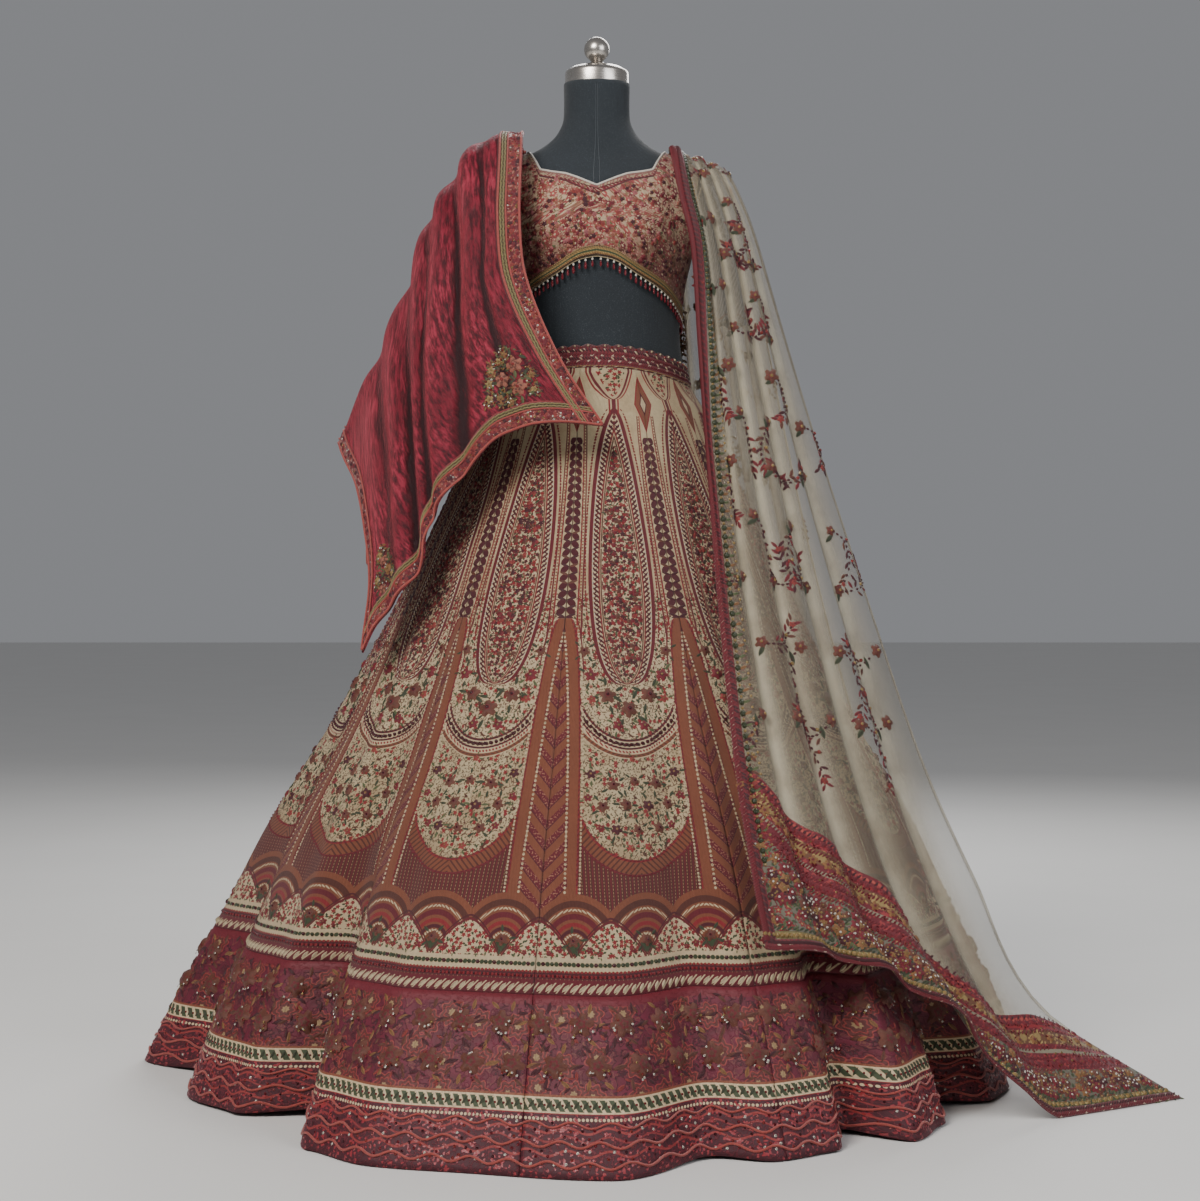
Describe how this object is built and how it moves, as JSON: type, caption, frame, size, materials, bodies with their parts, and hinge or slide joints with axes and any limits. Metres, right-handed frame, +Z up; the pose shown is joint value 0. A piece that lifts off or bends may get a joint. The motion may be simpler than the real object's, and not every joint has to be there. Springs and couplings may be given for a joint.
{
  "type": "lehenga choli on dress form",
  "caption": "Flared embroidered skirt, cropped blouse with bead fringe, velvet shawl and net dupatta, draped on a limbless dress form with pole and round base.",
  "frame": {"origin": "on the floor at the middle of the underside of the stand's round base", "axes": "+Z up, the front faces -Y, +X to the viewer's right"},
  "size_m": [1.5381, 1.3922, 1.5739],
  "materials": {
    "form_jersey": "matte slate jersey with fine speckle",
    "steel": "turned and lightly brushed steel",
    "choli_cloth": "cream ground closely embroidered in reds",
    "gold_trim": "gold and green braid",
    "beads": "pearl and dark red glass drops",
    "sleeve_net": "dark sheer net",
    "raw_silk": "cream silk with dense coloured embroidery",
    "rope_embroidery": "maroon rope stitch and beads",
    "border_velvet": "deep magenta velvet with thread flowers and sequins",
    "shawl_velvet": "crushed crimson velvet",
    "cord_border": "red cords with a gold line and sequins",
    "cream_net": "sheer cream net with embroidered vines"
  },
  "bodies": {
    "root": {"form_torso": "form_jersey", "form_cap": "steel", "form_finial": "steel", "form_pole": "steel", "form_base": "steel", "choli_front": "choli_cloth", "choli_back": "choli_cloth", "choli_hem_band_front": "gold_trim", "choli_hem_band_back": "gold_trim", "choli_fringe_front": "beads", "choli_fringe_back": "beads", "choli_sleeve_left": "sleeve_net", "choli_sleeve_right": "sleeve_net", "skirt_waistband": "rope_embroidery", "skirt_kali_01": "raw_silk", "skirt_kali_02": "raw_silk", "skirt_kali_03": "raw_silk", "skirt_kali_04": "raw_silk", "skirt_kali_05": "raw_silk", "skirt_kali_06": "raw_silk", "skirt_kali_07": "raw_silk", "skirt_kali_08": "raw_silk", "skirt_kali_09": "raw_silk", "skirt_kali_10": "raw_silk", "skirt_kali_11": "raw_silk", "skirt_kali_12": "raw_silk", "skirt_border_01": "border_velvet", "skirt_border_02": "border_velvet", "skirt_border_03": "border_velvet", "skirt_border_04": "border_velvet", "skirt_border_05": "border_velvet", "skirt_border_06": "border_velvet", "skirt_border_07": "border_velvet", "skirt_border_08": "border_velvet", "skirt_border_09": "border_velvet", "skirt_border_10": "border_velvet", "skirt_border_11": "border_velvet", "skirt_border_12": "border_velvet", "shawl_front": "shawl_velvet", "shawl_back": "shawl_velvet", "shawl_inner_border_front": "cord_border", "shawl_inner_border_back": "cord_border", "shawl_hem_border_front": "cord_border", "shawl_hem_border_back": "cord_border", "shawl_outer_border_front": "cord_border", "shawl_outer_border_back": "cord_border", "net_front": "cream_net", "net_back": "cream_net", "net_inner_border_front": "rope_embroidery", "net_inner_border_back": "rope_embroidery", "net_hem_border_front": "rope_embroidery", "net_hem_border_back": "rope_embroidery"}
  },
  "joints": []
}
